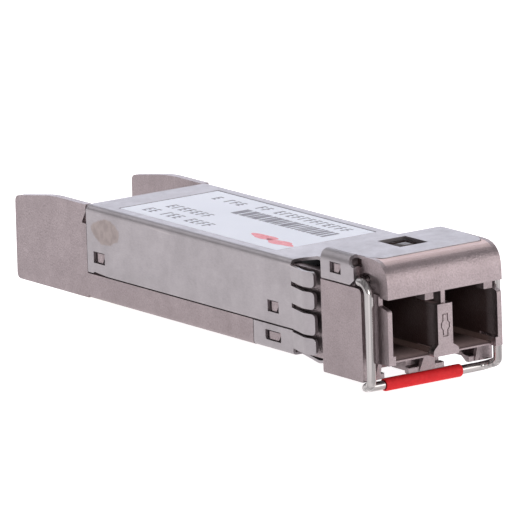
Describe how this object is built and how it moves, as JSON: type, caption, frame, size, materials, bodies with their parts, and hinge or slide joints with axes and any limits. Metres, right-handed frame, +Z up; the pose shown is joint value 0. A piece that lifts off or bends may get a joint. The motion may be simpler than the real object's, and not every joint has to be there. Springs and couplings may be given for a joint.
{
  "type": "optical transceiver module",
  "caption": "Pluggable optical transceiver: sheet-covered cast housing with spring fingers, a duplex fibre port in a hooded nose, and a wire bail that works the latch.",
  "frame": {"origin": "under the middle of the object's length and width, level with its lowest point, the sleeve of the hanging bail", "axes": "+Z up, from the latch side to the label side; -Y out of the optical ports; +X to the right seen from the ports"},
  "size_m": [0.0144, 0.0562, 0.0121],
  "materials": {
    "die_casting": "nickel-plated zinc die casting, matt with a fine grain",
    "nickel_sheet": "satin nickel-plated sheet",
    "polished_wire": "bright drawn steel wire",
    "turned_steel": "turned stainless steel",
    "spring_steel": "bright spring strip",
    "red_plastic": "matt soft red sleeve",
    "label_paper": "matt white label film",
    "board_laminate": "green solder mask on glass laminate, gold contact edge",
    "black_epoxy": "moulded black epoxy",
    "black_ferrite": "dark ferrite",
    "tan_ceramic": "tan ceramic with tinned ends",
    "white_ceramic": "polished zirconia",
    "gold_plate": "gold-plated metal",
    "amber_film": "amber polyimide film",
    "grey_silicone": "soft grey silicone"
  },
  "bodies": {
    "housing": {"base_housing": "die_casting", "top_cover": "nickel_sheet", "lower_emi_collar": "nickel_sheet", "nose_cap": "nickel_sheet", "label": "label_paper", "insulating_film": "amber_film", "thermal_pad": "grey_silicone", "circuit_board": "board_laminate", "laser_driver_chip": "black_epoxy", "receiver_amplifier_chip": "black_epoxy", "microcontroller_chip": "black_epoxy", "memory_chip": "black_epoxy", "crystal_can": "nickel_sheet", "power_inductor_left": "black_ferrite", "power_inductor_right": "black_ferrite", "bulk_capacitor_left": "tan_ceramic", "bulk_capacitor_right": "tan_ceramic", "filter_capacitor_left": "tan_ceramic", "filter_capacitor_right": "tan_ceramic", "optics_clamp": "turned_steel", "latch_pin": "turned_steel", "latch_spring": "spring_steel", "transmit_barrel": "turned_steel", "transmit_split_sleeve": "white_ceramic", "transmit_fibre_stub": "white_ceramic", "transmit_gasket": "grey_silicone", "transmit_can": "gold_plate", "transmit_leads": "gold_plate", "transmit_flex": "amber_film", "receive_barrel": "turned_steel", "receive_split_sleeve": "white_ceramic", "receive_fibre_stub": "white_ceramic", "receive_gasket": "grey_silicone", "receive_can": "gold_plate", "receive_leads": "gold_plate", "receive_flex": "amber_film"},
    "bail": {"bail_wire": "polished_wire", "bail_sleeve": "red_plastic"},
    "latch": {"latch_lever": "die_casting"}
  },
  "joints": [
    {"name": "bail_hinge", "type": "hinge", "parent": "housing", "child": "bail", "pos_m": [0, -0.02476, 0.01002], "axis": [-1, 0, 0], "range_deg": [0, 90]},
    {"name": "latch_rock", "type": "hinge", "parent": "housing", "child": "latch", "pos_m": [0, -0.02096, 0.00192], "axis": [1, 0, 0], "range_deg": [0, 7], "deforming": ["latch_spring"]}
  ],
  "couplings": [
    {"joint": "latch_rock", "follows": "bail_hinge", "ratio": 0.0777}
  ]
}
